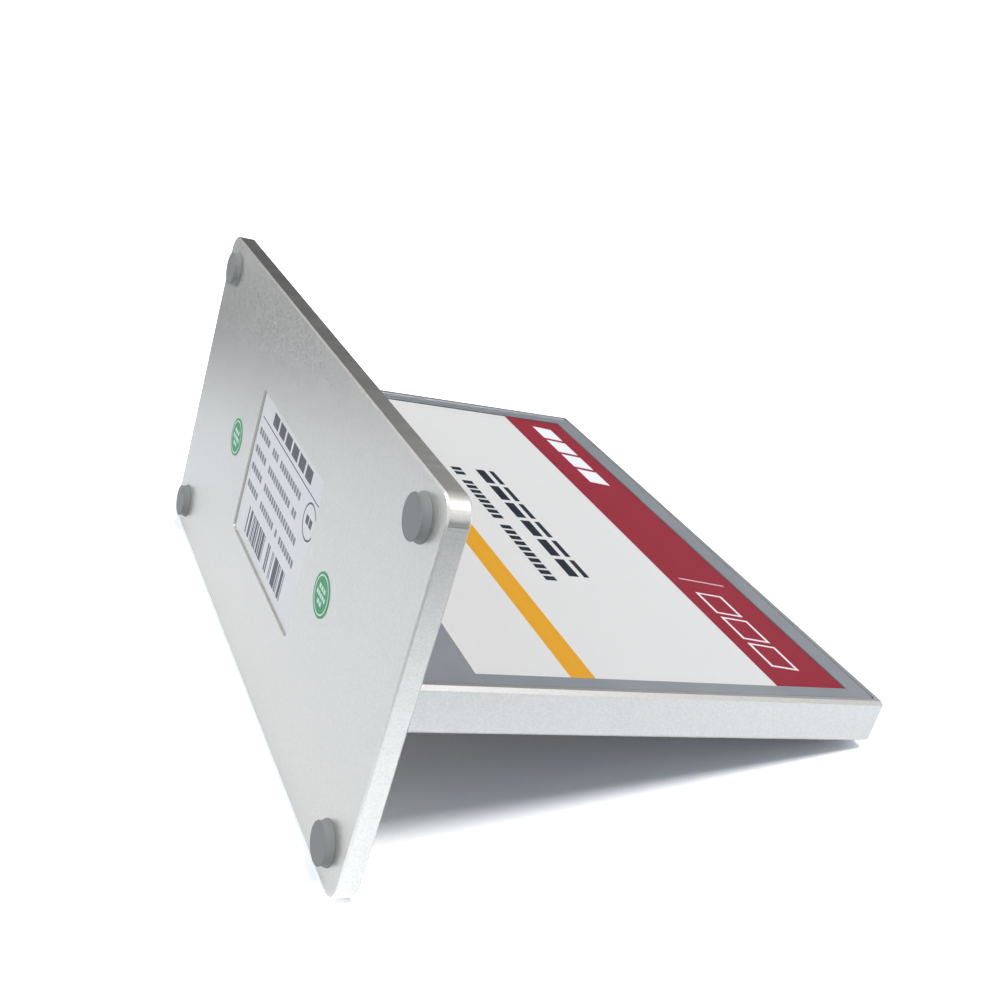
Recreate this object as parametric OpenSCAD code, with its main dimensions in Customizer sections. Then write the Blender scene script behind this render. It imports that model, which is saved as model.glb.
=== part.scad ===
// Double-sided e-paper desk sign: a flat aluminium base with a thin upright
// display body screwed to its middle, and a picture on each face.
// X runs along the sign, -Y is the front, +Z is up, and the feet stand on z = 0.

/* [Picture] */
// Width of the picture that each panel shows
picture_w = 163.2; // [150:0.1:220]
// Height of the picture that each panel shows
picture_h = 97.92; // [90:0.01:160]

/* [E-paper panel] */
// Glass beyond the picture at each side and at the top
panel_margin = 3.5; // [3:0.1:6]
// Glass below the picture, for the driver chip and the flex bond
panel_ledge = 9.78; // [8:0.01:14]
// Thickness of the backplane glass
panel_glass_t = 0.6; // [0.4:0.05:0.8]
// Thickness of the ink film laminated to the glass
ink_film_t = 0.5; // [0.3:0.05:0.6]
// Ink film beyond the picture on all sides
ink_film_margin = 1.5; // [1:0.1:2.5]
// Thickness of the tape strips behind the glass
panel_tape_t = 0.15; // [0.1:0.01:0.3]
// Distance of the flex tail from the middle of the panel
flex_offset = 16; // [14:0.5:22]
// Width of the flex tail
flex_w = 24; // [18:0.5:26]

/* [Lens] */
// Thickness of each cover lens
lens_t = 1.5; // [1:0.1:2.5]
// How far the lens lies below the rim of the frame
lens_setback = 0.1; // [0.05:0.05:0.4]
// Gap between the edge of the lens and the rim
lens_gap = 0.15; // [0.1:0.05:0.3]
// Polished chamfer round the outer face of the lens
lens_chamfer = 0.2; // [0.1:0.05:0.4]
// Air between the lens and the ink film
lens_air = 0.15; // [0.1:0.05:0.3]
// Thickness of the tape ring that holds the lens
lens_tape_t = 0.2; // [0.1:0.05:0.3]

/* [Display frame] */
// Wall of the frame at both sides and at the top
frame_wall = 3; // [2.6:0.1:5]
// Wall of the frame at the bottom, where the base screws are tapped
frame_floor = 5; // [4:0.1:9]
// Rim round the lens, chamfer included
rim_w = 1.7; // [1.4:0.1:2.2]
// Chamfer of the front and rear edges
frame_chamfer = 0.8; // [0.4:0.1:1]
// Radius of the four outer corners
frame_corner_r = 1.1; // [1.1:0.1:1.4]
// Gap between the frame and what it holds, at the sides
cavity_gap = 0.4; // [0.3:0.05:0.8]
// Room above the panel glass inside the frame
panel_headroom = 0.6; // [0.4:0.1:2]
// Room below the panel glass, for the folded flex tail
panel_footroom = 1.2; // [1:0.1:3]
// Leg of the corner lugs that the chassis is screwed to
lug_leg = 8; // [7:0.5:11]
// Thickness of the corner lugs
lug_t = 1.6; // [1.3:0.1:1.8]

/* [Chassis] */
// Web of the chassis tray behind the front panel
chassis_web = 0.8; // [0.6:0.05:1.2]
// Free depth between the web and the cover
chassis_depth = 3.4; // [3.3:0.1:6]
// Thickness of the chassis cover
chassis_cover_t = 0.8; // [0.75:0.05:1.2]
// Wall round the tray
chassis_wall = 1.2; // [0.8:0.1:2]
// Thickness of the ribs and battery guides
rib_t = 0.9; // [0.6:0.1:1.2]
// Height of the stiffening ribs
rib_h = 1.4; // [0.8:0.1:2.4]
// Distance between stiffening ribs
rib_pitch = 14; // [10:1:24]

/* [Circuit board] */
// Width of the main board
board_w = 96; // [84:1:110]
// Height of the main board
board_h = 30; // [26:1:36]
// Thickness of the main board
board_t = 0.8; // [0.6:0.1:1]
// Standoffs under the main board
board_standoff = 0.6; // [0.4:0.1:0.9]

/* [Battery] */
// Width of the pouch cell
cell_w = 60; // [50:1:66]
// Height of the pouch cell
cell_h = 46; // [36:1:50]
// Thickness of the pouch cell
cell_t = 2.8; // [2:0.1:3]
// Foam tape behind the cell
cell_pad_t = 0.2; // [0.1:0.05:0.4]

/* [Base] */
// Base beyond the display body at each side
base_side = 3; // [1:0.5:10]
// Depth of the base, front to back
base_d = 91; // [70:1:130]
// Thickness of the base
base_t = 5; // [4:0.5:8]
// Radius of the four upright corners
base_corner_r = 5; // [3:0.5:12]
// Chamfer of the underside and top edges
base_chamfer = 0.4; // [0.2:0.1:1]
// Width of the label recess in the underside
recess_w = 59; // [40:0.5:70]
// Depth of the label recess, front to back
recess_d = 40; // [30:0.5:50]
// How far the label recess goes into the underside
recess_h = 0.8; // [0.4:0.1:1]
// Radius of the corners of the label recess
recess_r = 1.5; // [1.2:0.1:4]

/* [Feet] */
// Diameter of a foot
foot_dia = 10; // [8:0.5:14]
// Height of a foot
foot_h = 2; // [1.5:0.1:4]
// Rounded edge of a foot
foot_edge_r = 0.4; // [0.2:0.1:0.6]
// Middle of a foot from the side of the base
foot_inset_x = 10.4; // [8:0.1:20]
// Middle of a foot from the front or back of the base
foot_inset_y = 8.2; // [8:0.1:20]

/* [Underside labels] */
// Thickness of the label in the recess
label_t = 0.15; // [0.1:0.05:0.3]
// Gap between the label and the walls of its recess
label_gap = 0.4; // [0.2:0.1:1]
// Diameter of the round seals over the screws
seal_dia = 10.4; // [9:0.1:14]
// Thickness of the round seals
seal_t = 0.1; // [0.05:0.05:0.2]

/* [Base screws] */
// Distance of each base screw from the middle
screw_x = 44.2; // [36:0.1:60]
// Thread diameter of the base screws
screw_d = 4; // [3:0.5:4]
// Diameter of the countersunk heads
screw_head_d = 7.5; // [6:0.1:8]
// Length of the base screws, head included
screw_l = 8; // [7:0.5:8.5]
// How far a head lies below the underside
screw_sink = 0.2; // [0.1:0.05:0.4]

/* [Hidden] */
$fn = 64;

// Overrun of every cut
cut = 0.5;
// Play round a screw thread in its hole, all round
thread_play = 0.05;
// Play between a countersunk head and its seat
head_play = 0.05;

// Stack of one side, outer face of the frame inwards
lens_back = lens_setback + lens_t;
ledge_depth = lens_back + lens_tape_t;
film_front = lens_back + lens_air;
glass_front = film_front + ink_film_t;
glass_back = glass_front + panel_glass_t;
chassis_face = glass_back + panel_tape_t;
chassis_t = chassis_web + chassis_depth + chassis_cover_t;
body_t = 2 * chassis_face + chassis_t;

// Panel and frame outlines, measured up from the bottom of the frame
panel_w = picture_w + 2 * panel_margin;
panel_h = picture_h + panel_margin + panel_ledge;
cavity_w = panel_w + 2 * cavity_gap;
cavity_h = panel_footroom + panel_h + panel_headroom;
body_w = cavity_w + 2 * frame_wall;
body_h = frame_floor + cavity_h + frame_wall;
panel_z = frame_floor + panel_footroom;
picture_z = panel_z + panel_ledge;
lens_w = body_w - 2 * (rim_w + lens_gap);
lens_h = body_h - 2 * (rim_w + lens_gap);
// Milled corner of the lens seat, and of the lens in it
seat_r = 1.5;
lens_r = seat_r - lens_gap;

// Base and places on it
base_w = body_w + 2 * base_side;
body_z = foot_h + base_t;
base_hole_play = 0.2;
tapped_depth_share = 0.85;
hex_key = 2.5;
hex_depth = 1.2;

// Chassis, between its front face and its cover
chassis_w = cavity_w - 2 * cavity_gap;
chassis_h = cavity_h - 2 * cavity_gap;
chassis_z = frame_floor + cavity_gap;
chassis_r = 1;
tray_y = -body_t / 2 + chassis_face;
web_y = tray_y + chassis_web;
cover_y = web_y + chassis_depth;
lug_gap = 0.2;
lug_hole_inset = 3;
lug_nose_share = 0.4;
lug_screw_d = 2;
lug_screw_head_d = 3.8;
lug_screw_l = 4;
// Bosses and screws that hold the cover
cover_boss_d = 4;
cover_boss_inset = 3.6;
cover_screw_d = 1.4;
cover_screw_head_d = 2.6;
cover_screw_l = 3;
cover_boss_height_share = 0.26;
// Hexagonal drive of the small screws, as shares of the thread
drive_key_share = 0.5;
drive_depth_share = 0.35;
// Slot for the flex tails in the bottom of the chassis
flex_play = 1.5;

// Flex tail: a ribbon folded round the bottom of the glass
flex_t = 0.12;
flex_bond = 2;
flex_run_gap = 0.35;
flex_rise = 0.6;
flex_bend_r = 0.8;
flex_grip = 1.5;
// Driver chip on the ledge of the glass
chip_w = 22;
chip_h = 1.4;
chip_t = 0.3;
chip_above_bond = 1.2;
// Tape strips behind the glass
tape_strip_w = 12;
tape_strips = 5;
tape_end_gap = 9;
// Tape ring round the lens
lens_tape_gap = 0.15;

// Main board and what it carries
board_r = 1.5;
board_z = panel_z + flex_rise + 2 * flex_bend_r + flex_t;
board_y = web_y + board_standoff;
parts_y = board_y + board_t;
board_hole_inset = 3;
standoff_d = 4;
board_screw_d = 1.6;
board_screw_head_d = 2.8;
board_screw_head_t = 0.7;
board_screw_l = 2;
antenna_notch_w = 16;
antenna_notch_h = 4;
// Sockets that grip the flex tails
socket_h = 4.2;
socket_t = 1;
socket_side = 1.8;
socket_rise = 0.8;
slot_play = 0.06;
flex_slot_y = parts_y + socket_t / 2;
// Radio: its own small board with a shield can
radio_w = 12;
radio_h = 17;
radio_t = 0.6;
radio_inset = 14;
radio_x = board_w / 2 - radio_inset;
radio_antenna_h = 4.5;
shield_t = 1;
shield_edge = 0.8;
shield_r = 0.6;
// Coils and capacitors of the panel supply
coil_side = 4;
coil_t = 1.4;
coil_pitch = 7;
coil_inset = 14;
coil_x = coil_inset - board_w / 2;
coil_bevel_share = 0.2;
coil_well_share = 0.6;
coil_well_depth = 0.3;
cap_l = 1.6;
cap_w = 0.8;
cap_pitch = 2.6;
cap_count = 8;

// Battery above the board, left of the middle
cell_x = -34;
cell_lift = 9;
cell_z = board_z + board_h + cell_lift;
cell_y = web_y + cell_pad_t;
cell_r = 2.5;
cell_seal_w = 1.6;
cell_seal_t = 0.3;
terrace_h = 4;
guard_w = 34;
guard_t = 1;
guide_gap = 0.4;
guide_leg = 9;
guide_h = 2.2;
rib_clear = 2;
pad_inset = 4;
// Leads from the guard board to the socket on the main board
lead_d = 0.9;
lead_pitch = 2;
lead_step = 1.8;
lead_rings = 12;
lead_sides = 16;
battery_socket_offset = 11;
battery_socket_x = cell_x + battery_socket_offset;
battery_socket_w = 6.4;
battery_socket_h = 4.6;
battery_socket_t = 1.6;
plug_inside = 3;
plug_h = 4;
plug_play = 0.1;

// Rounded rectangle that stands on y = 0, or that is centred there
module rounded_rect(w, h, r, standing = true) {
    translate([-w / 2, standing ? 0 : -h / 2]) {
        translate([r, 0]) square([w - 2 * r, h]);
        translate([0, r]) square([w, h - 2 * r]);
        for (x = [r, w - r], y = [r, h - r]) translate([x, y]) circle(r);
    }
}

// Profile of a plate's edge: a rectangle from x = 0 with both outer corners cut
module edge_profile(reach, t, low, high) {
    polygon([[0, 0], [reach - low, 0], [reach, low], [reach, t - high], [reach - high, t], [0, t]]);
}

// Plate with round upright corners and chamfered lower and upper edges
module chamfered_plate(w, d, t, r, low, high) {
    for (turn = [0, 180]) rotate(turn) {
        translate([0, d / 2 - r, 0]) rotate([90, 0, 0])
            linear_extrude(d - 2 * r) edge_profile(w / 2, t, low, high);
        rotate(90) translate([0, w / 2 - r, 0]) rotate([90, 0, 0])
            linear_extrude(w - 2 * r) edge_profile(d / 2, t, low, high);
    }
    for (x = [-1, 1], y = [-1, 1]) translate([x * (w / 2 - r), y * (d / 2 - r), 0])
        rotate_extrude() edge_profile(r, t, low, high);
}

// Stands a flat sketch upright in the display body, from rear_y forwards by t
module upright(rear_y, t) {
    translate([0, rear_y, body_z]) rotate([90, 0, 0]) linear_extrude(t) children();
}

// Sketch of y and z in the display body, drawn out along x about the middle
module side_drawn(w) {
    translate([-w / 2, 0, body_z]) rotate([90, 0, 90]) linear_extrude(w) children();
}

// Rounded box in the display body, lying between two depths
module body_box(w, h, r, z, front_y, rear_y) {
    upright(rear_y, rear_y - front_y) translate([0, z]) rounded_rect(w, h, r);
}

// Puts a front piece on the rear face
module rear_side() {
    rotate(180) children();
}

// Countersunk screw pointing up z, its head's face on z = 0
module flat_screw(d, head_d, l, key, key_depth) {
    difference() {
        union() {
            cylinder(h = l, d = d);
            cylinder(h = (head_d - d) / 2, d1 = head_d, d2 = d);
        }
        translate([0, 0, -cut]) cylinder(h = key_depth + cut, d = key / cos(30), $fn = 6);
    }
}

// Hole for such a screw, with play round the head and the shank
module flat_screw_hole(d, head_d, depth, play, sink = 0) {
    head = head_d + 2 * head_play;
    shank = d + 2 * play;
    cylinder(h = depth, d = shank);
    translate([0, 0, sink]) cylinder(h = (head - shank) / 2, d1 = head, d2 = shank);
    translate([0, 0, -cut]) cylinder(h = cut + sink, d = head);
}

// Places of the four feet, as left and right by front and rear
module foot_at(side, end) {
    translate([side * (base_w / 2 - foot_inset_x), end * (base_d / 2 - foot_inset_y), 0]) children();
}

// Rubber foot with a rounded lower edge
module foot(side, end) {
    r = foot_dia / 2;
    color("dimgray") foot_at(side, end) rotate_extrude() {
        translate([0, foot_edge_r]) square([r, foot_h - foot_edge_r]);
        square([r - foot_edge_r, foot_h]);
        translate([r - foot_edge_r, foot_edge_r]) circle(foot_edge_r, $fn = 32);
    }
}

module foot_front_left() { foot(-1, -1); }
module foot_front_right() { foot(1, -1); }
module foot_rear_left() { foot(-1, 1); }
module foot_rear_right() { foot(1, 1); }

// Milled plate with the label recess and two countersunk holes
module base_plate() {
    color("gainsboro") translate([0, 0, foot_h]) difference() {
        chamfered_plate(base_w, base_d, base_t, base_corner_r, base_chamfer, base_chamfer);
        translate([0, 0, -cut]) linear_extrude(recess_h + cut)
            rounded_rect(recess_w, recess_d, recess_r, false);
        for (x = [-screw_x, screw_x]) translate([x, 0, 0])
            flat_screw_hole(screw_d, screw_head_d, base_t + cut, base_hole_play, screw_sink);
    }
}

module underside_label() {
    gap = 2 * label_gap;
    color("aliceblue") translate([0, 0, foot_h + recess_h - label_t]) linear_extrude(label_t)
        rounded_rect(recess_w - gap, recess_d - gap, recess_r - label_gap, false);
}

// Round seal over one base screw
module seal(side) {
    color("mediumseagreen") translate([side * screw_x, 0, foot_h - seal_t])
        cylinder(h = seal_t, d = seal_dia);
}

module seal_left() { seal(-1); }
module seal_right() { seal(1); }

module base_screws() {
    color("silver") for (x = [-screw_x, screw_x]) translate([x, 0, foot_h + screw_sink])
        flat_screw(screw_d, screw_head_d, screw_l, hex_key, hex_depth);
}

// Outline of one corner lug, its right angle in the corner at [0, 0]
module lug_outline(grow = 0) {
    leg = lug_leg + grow;
    nose = leg * lug_nose_share;
    polygon([[0, 0], [leg, 0], [leg, leg - nose], [leg - nose, leg], [0, leg]]);
}

// Puts a sketch in each inner corner of a rectangle that stands on y = z
module each_corner(w, h, z) {
    translate([0, z]) for (x = [0, 1], y = [0, 1])
        translate([(x - 0.5) * w, y * h]) mirror([x, 0]) mirror([0, y]) children();
}

// Turns children to point from the front to the rear at the four lugs
module each_lug_screw(y) {
    for (x = [-1, 1], z = [lug_hole_inset, cavity_h - lug_hole_inset])
        translate([x * (cavity_w / 2 - lug_hole_inset), y, body_z + frame_floor + z])
            rotate([-90, 0, 0]) children();
}

// Milled ring: a stepped seat for a lens on each face, corner lugs between them
module display_frame() {
    seat_w = body_w - 2 * rim_w;
    seat_h = body_h - 2 * rim_w;
    color("gainsboro") difference() {
        translate([0, body_t / 2, body_z + body_h / 2]) rotate([90, 0, 0])
            chamfered_plate(body_w, body_h, body_t, frame_corner_r, frame_chamfer, frame_chamfer);
        for (turn = [0, 180]) rotate(turn) body_box(
            seat_w, seat_h, seat_r, rim_w, -body_t / 2 - cut, -body_t / 2 + ledge_depth);
        difference() {
            upright(body_t / 2, body_t) translate([0, frame_floor])
                translate([-cavity_w / 2, 0]) square([cavity_w, cavity_h]);
            upright(tray_y + lug_t, lug_t) each_corner(cavity_w, cavity_h, frame_floor) lug_outline();
        }
        each_lug_screw(tray_y) flat_screw_hole(lug_screw_d, lug_screw_head_d, lug_t + cut, thread_play);
        for (x = [-screw_x, screw_x]) translate([x, 0, body_z - cut])
            cylinder(h = frame_floor * tapped_depth_share + cut, d = screw_d + 2 * thread_play);
    }
}

module lens() {
    color("lightsteelblue", 0.5) translate([0, -body_t / 2 + lens_back, body_z + body_h / 2])
        rotate([90, 0, 0]) chamfered_plate(lens_w, lens_h, lens_t, lens_r, lens_chamfer, lens_chamfer);
}

module front_lens() { lens(); }
module rear_lens() { rear_side() lens(); }

// Tape ring on the ledge behind the lens
module lens_tape() {
    ring_w = lens_w - 2 * lens_tape_gap;
    ring_h = lens_h - 2 * lens_tape_gap;
    color("dimgray") upright(-body_t / 2 + ledge_depth, lens_tape_t) difference() {
        translate([0, (body_h - ring_h) / 2]) rounded_rect(ring_w, ring_h, lens_r);
        translate([-cavity_w / 2, frame_floor]) square([cavity_w, cavity_h]);
    }
}

module front_lens_tape() { lens_tape(); }
module rear_lens_tape() { rear_side() lens_tape(); }

module panel_glass() {
    color("darkslategray") upright(-body_t / 2 + glass_back, panel_glass_t)
        translate([-panel_w / 2, panel_z]) square([panel_w, panel_h]);
}

module front_panel_glass() { panel_glass(); }
module rear_panel_glass() { rear_side() panel_glass(); }

module ink_film() {
    film_w = picture_w + 2 * ink_film_margin;
    film_h = picture_h + 2 * ink_film_margin;
    color("whitesmoke") upright(-body_t / 2 + glass_front, ink_film_t)
        translate([-film_w / 2, picture_z - ink_film_margin]) square([film_w, film_h]);
}

module front_ink_film() { ink_film(); }
module rear_ink_film() { rear_side() ink_film(); }

module driver_chip() {
    chip_z = panel_z + flex_bond + chip_above_bond;
    color("black") upright(-body_t / 2 + glass_front, chip_t)
        translate([flex_offset - chip_w / 2, chip_z]) square([chip_w, chip_h]);
}

module front_driver_chip() { driver_chip(); }
module rear_driver_chip() { rear_side() driver_chip(); }

// Quarter of a ribbon's bend: centre line radius r, in the quadrant given
module quarter_bend(r, right, up) {
    intersection() {
        difference() {
            circle(r + flex_t / 2);
            circle(r - flex_t / 2);
        }
        reach = r + flex_t;
        translate([right ? 0 : -reach, up ? 0 : -reach]) square([reach, reach]);
    }
}

// Ribbon from the glass ledge, round the bottom of the glass and up to slot_y
module flex_tail(slot_y) {
    bond_y = -body_t / 2 + glass_front - flex_t / 2;
    run_y = -body_t / 2 + glass_back + flex_run_gap + flex_t / 2;
    fold_r = (run_y - bond_y) / 2;
    step_z = panel_z + flex_rise;
    grip_z = board_z + socket_rise + flex_grip;
    color("darkorange") translate([flex_offset, 0, 0]) side_drawn(flex_w) {
        translate([bond_y - flex_t / 2, panel_z]) square([flex_t, flex_bond]);
        translate([bond_y + fold_r, panel_z]) {
            quarter_bend(fold_r, false, false);
            quarter_bend(fold_r, true, false);
        }
        translate([run_y - flex_t / 2, panel_z]) square([flex_t, flex_rise]);
        translate([run_y + flex_bend_r, step_z]) quarter_bend(flex_bend_r, false, true);
        translate([run_y + flex_bend_r, step_z + flex_bend_r - flex_t / 2])
            square([slot_y - run_y - 2 * flex_bend_r, flex_t]);
        translate([slot_y - flex_bend_r, step_z + 2 * flex_bend_r])
            quarter_bend(flex_bend_r, true, false);
        translate([slot_y - flex_t / 2, step_z + 2 * flex_bend_r])
            square([flex_t, grip_z - step_z - 2 * flex_bend_r]);
    }
}

module front_flex_tail() { flex_tail(flex_slot_y); }
module rear_flex_tail() { rear_side() flex_tail(-flex_slot_y); }

// Strips of double-sided tape between the glass and the chassis
module panel_tapes() {
    pitch = (panel_w - tape_strip_w) / (tape_strips - 1);
    color("ivory") upright(tray_y, panel_tape_t) for (i = [0 : tape_strips - 1])
        translate([(i - (tape_strips - 1) / 2) * pitch - tape_strip_w / 2, panel_z + tape_end_gap])
            square([tape_strip_w, panel_h - 2 * tape_end_gap]);
}

module front_panel_tapes() { panel_tapes(); }
module rear_panel_tapes() { rear_side() panel_tapes(); }

// Middles of the bosses under the cover
cover_boss_x = chassis_w / 2 - cover_boss_inset;
cover_boss_places = [
    for (x = [-cover_boss_x, cover_boss_x], z = [-1, 1])
        [x, chassis_z + chassis_h / 2 + z * chassis_h * cover_boss_height_share],
    [0, chassis_z + chassis_h - cover_boss_inset],
    [cover_boss_x / 2, chassis_z + chassis_h - cover_boss_inset],
    [-cover_boss_x / 2, chassis_z + chassis_h - cover_boss_inset],
    [0, cell_z - cell_lift / 2]
];

// Middles of the screws of the main board
board_hole_places = [
    for (x = [-1, 1], z = [board_hole_inset, board_h - board_hole_inset])
        [x * (board_w / 2 - board_hole_inset), board_z + z]
];

// Cuts the flex slot through a chassis part, on the side that x gives
module flex_slot(x) {
    slot_w = flex_w + 2 * flex_play;
    translate([x - slot_w / 2, chassis_z - cut])
        square([slot_w, cut + panel_z - chassis_z + flex_rise + flex_bend_r + flex_run_gap]);
}

// Guides at the four corners of the battery
module cell_guides() {
    w = cell_w + 2 * guide_gap;
    h = cell_h + 2 * guide_gap;
    translate([cell_x, cell_z - guide_gap]) for (x = [0, 1], y = [0, 1])
        translate([(x - 0.5) * w, y * h]) mirror([x, 0]) mirror([0, y]) {
            translate([-rib_t, -rib_t]) square([guide_leg, rib_t]);
            translate([-rib_t, -rib_t]) square([rib_t, guide_leg]);
        }
}

// Stiffening ribs over the whole tray, kept clear of the board, battery and leads
module tray_ribs() {
    inner_w = chassis_w - 2 * chassis_wall;
    inner_h = chassis_h - 2 * chassis_wall;
    columns = ceil(inner_w / rib_pitch);
    rows = ceil(inner_h / rib_pitch);
    difference() {
        translate([-inner_w / 2, chassis_z + chassis_wall]) {
            for (i = [1 : columns - 1]) translate([i * inner_w / columns - rib_t / 2, 0])
                square([rib_t, inner_h]);
            for (i = [1 : rows - 1]) translate([0, i * inner_h / rows - rib_t / 2])
                square([inner_w, rib_t]);
        }
        translate([-board_w / 2 - rib_clear, chassis_z])
            square([board_w + 2 * rib_clear, board_z - chassis_z + board_h + rib_clear]);
        translate([cell_x - cell_w / 2 - rib_clear, board_z + board_h])
            square([cell_w + 2 * rib_clear, cell_lift + cell_h + rib_clear]);
    }
}

// Moulded tray: web, walls, lug bosses, cover bosses, standoffs, guides and ribs
module chassis_tray() {
    lug_rear = tray_y + lug_t;
    color("darkgray") difference() {
        union() {
            body_box(chassis_w, chassis_h, chassis_r, chassis_z, tray_y, web_y);
            upright(cover_y, chassis_depth) difference() {
                translate([0, chassis_z]) rounded_rect(chassis_w, chassis_h, chassis_r);
                translate([0, chassis_z + chassis_wall])
                    rounded_rect(chassis_w - 2 * chassis_wall, chassis_h - 2 * chassis_wall, chassis_r);
            }
            upright(cover_y, chassis_depth) intersection() {
                each_corner(cavity_w, cavity_h, frame_floor) lug_outline(chassis_wall + lug_gap);
                translate([0, chassis_z]) rounded_rect(chassis_w, chassis_h, chassis_r);
            }
            upright(cover_y, chassis_depth)
                for (p = cover_boss_places) translate(p) circle(d = cover_boss_d);
            upright(board_y, board_standoff)
                for (p = board_hole_places) translate(p) circle(d = standoff_d);
            upright(web_y + guide_h, guide_h) cell_guides();
            upright(web_y + rib_h, rib_h) tray_ribs();
        }
        upright(lug_rear, lug_t + cut) each_corner(cavity_w, cavity_h, frame_floor) lug_outline(lug_gap);
        each_lug_screw(lug_rear - cut)
            cylinder(h = lug_screw_l, d = lug_screw_d + 2 * thread_play);
        for (p = cover_boss_places) translate([p.x, web_y, body_z + p.y]) rotate([-90, 0, 0])
            cylinder(h = chassis_depth + cut, d = cover_screw_d + 2 * thread_play);
        for (p = board_hole_places)
            translate([p.x, parts_y - board_screw_l, body_z + p.y]) rotate([-90, 0, 0])
                cylinder(h = board_screw_l, d = board_screw_d + 2 * thread_play);
        upright(web_y + cut, chassis_web + 2 * cut) flex_slot(flex_offset);
        upright(cover_y + cut, chassis_depth + cut) {
            flex_slot(flex_offset);
            flex_slot(-flex_offset);
        }
    }
}

// Flat plate that closes the tray and carries the rear panel
module chassis_cover() {
    color("darkgray") difference() {
        body_box(chassis_w, chassis_h, chassis_r, chassis_z, cover_y, cover_y + chassis_cover_t);
        for (p = cover_boss_places) translate([p.x, cover_y + chassis_cover_t, body_z + p.y])
            rotate([90, 0, 0]) flat_screw_hole(
                cover_screw_d, cover_screw_head_d, chassis_cover_t + cut, thread_play);
        upright(cover_y + chassis_cover_t + cut, chassis_cover_t + 2 * cut) flex_slot(-flex_offset);
    }
}

module chassis_screws() {
    color("silver") each_lug_screw(tray_y)
        flat_screw(lug_screw_d, lug_screw_head_d, lug_screw_l,
            lug_screw_d * drive_key_share, lug_screw_d * drive_depth_share);
}

module cover_screws() {
    color("silver") for (p = cover_boss_places)
        translate([p.x, cover_y + chassis_cover_t, body_z + p.y]) rotate([90, 0, 0])
            flat_screw(cover_screw_d, cover_screw_head_d, cover_screw_l,
                cover_screw_d * drive_key_share, cover_screw_d * drive_depth_share);
}

// Board with round corners, four screw holes and a notch beside the antenna
module main_board() {
    color("darkgreen") upright(parts_y, board_t) difference() {
        translate([0, board_z]) rounded_rect(board_w, board_h, board_r);
        for (p = board_hole_places) translate(p) circle(d = board_screw_d + 2 * thread_play);
        translate([radio_x - antenna_notch_w / 2, board_z + board_h - antenna_notch_h])
            square([antenna_notch_w, antenna_notch_h + cut]);
    }
}

module board_screws() {
    color("silver") for (p = board_hole_places) translate([p.x, parts_y, body_z + p.y]) {
        rotate([90, 0, 0]) cylinder(h = board_screw_l, d = board_screw_d);
        rotate([-90, 0, 0]) cylinder(h = board_screw_head_t, d = board_screw_head_d);
    }
}

// Height of the bottom of the radio, so that its antenna stands over the notch
radio_z = board_z + board_h - antenna_notch_h + radio_antenna_h - radio_h;

module radio_board() {
    color("darkgreen") upright(parts_y + radio_t, radio_t)
        translate([radio_x - radio_w / 2, radio_z]) square([radio_w, radio_h]);
}

module radio_shield() {
    color("silver") upright(parts_y + radio_t + shield_t, shield_t)
        translate([radio_x, radio_z + shield_edge])
            rounded_rect(radio_w - 2 * shield_edge, radio_h - radio_antenna_h - shield_edge, shield_r);
}

// Two sockets with a slot that opens down for the flex tail
module panel_sockets() {
    color("ivory") for (x = [-flex_offset, flex_offset]) translate([x, 0, 0]) difference() {
        side_drawn(flex_w + 2 * socket_side)
            translate([parts_y, board_z + socket_rise]) square([socket_t, socket_h]);
        side_drawn(flex_w + 2 * slot_play)
            translate([flex_slot_y - flex_t / 2 - slot_play, board_z + socket_rise - cut])
                square([flex_t + 2 * slot_play, flex_grip + slot_play + cut]);
    }
}

// Octagonal coil bodies with a round well in the top
module power_coils() {
    bevel = coil_side * coil_bevel_share;
    color("dimgray") for (i = [0, 1])
        translate([coil_x + i * coil_pitch, parts_y, body_z + board_z + board_h / 2 + coil_side / 2])
            rotate([-90, 0, 0]) difference() {
                linear_extrude(coil_t) polygon([
                    for (s = [[1, 1], [-1, 1], [-1, -1], [1, -1]], k = [0, 1])
                    let (a = coil_side / 2, b = a - bevel, long_x = (s.x * s.y > 0) == (k == 0))
                    [s.x * (long_x ? a : b), s.y * (long_x ? b : a)]
                ]);
                translate([0, 0, coil_t - coil_well_depth])
                    cylinder(h = coil_well_depth + cut, d = coil_side * coil_well_share);
            }
}

module capacitors() {
    row_w = (cap_count - 1) * cap_pitch;
    row_z = body_z + board_z + board_h / 2 + coil_side;
    color("tan") for (i = [0 : cap_count - 1])
        translate([i * cap_pitch - row_w / 2 - cap_w / 2, parts_y, row_z])
            cube([cap_w, cap_w, cap_l]);
}

// Pouch cell: a soft block, its side seals and the terrace below
module battery_cell() {
    seal_y = cell_y + cell_t / 2 - cell_seal_t / 2;
    color("silver") {
        body_box_at(cell_x, cell_w - 2 * cell_seal_w, cell_h - terrace_h, cell_r,
            cell_z + terrace_h, cell_y, cell_y + cell_t);
        body_box_at(cell_x, cell_w, cell_h, cell_r / 2, cell_z, seal_y, seal_y + cell_seal_t);
    }
}

// The same as body_box, away from the middle
module body_box_at(x, w, h, r, z, front_y, rear_y) {
    translate([x, 0, 0]) body_box(w, h, r, z, front_y, rear_y);
}

// Small board on the terrace that guards the cell
module battery_guard_board() {
    seal_rear = cell_y + cell_t / 2 + cell_seal_t / 2;
    color("darkgreen") translate([battery_socket_x, 0, 0])
        upright(seal_rear + guard_t, guard_t)
            translate([-guard_w / 2, cell_z]) square([guard_w, terrace_h - cell_seal_t]);
}

module battery_pad() {
    color("white") body_box_at(cell_x, cell_w - 2 * (cell_seal_w + pad_inset),
        cell_h - terrace_h - 2 * pad_inset, cell_r, cell_z + terrace_h + pad_inset, web_y, cell_y);
}

battery_socket_z = board_z + board_h - battery_socket_h;

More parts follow.
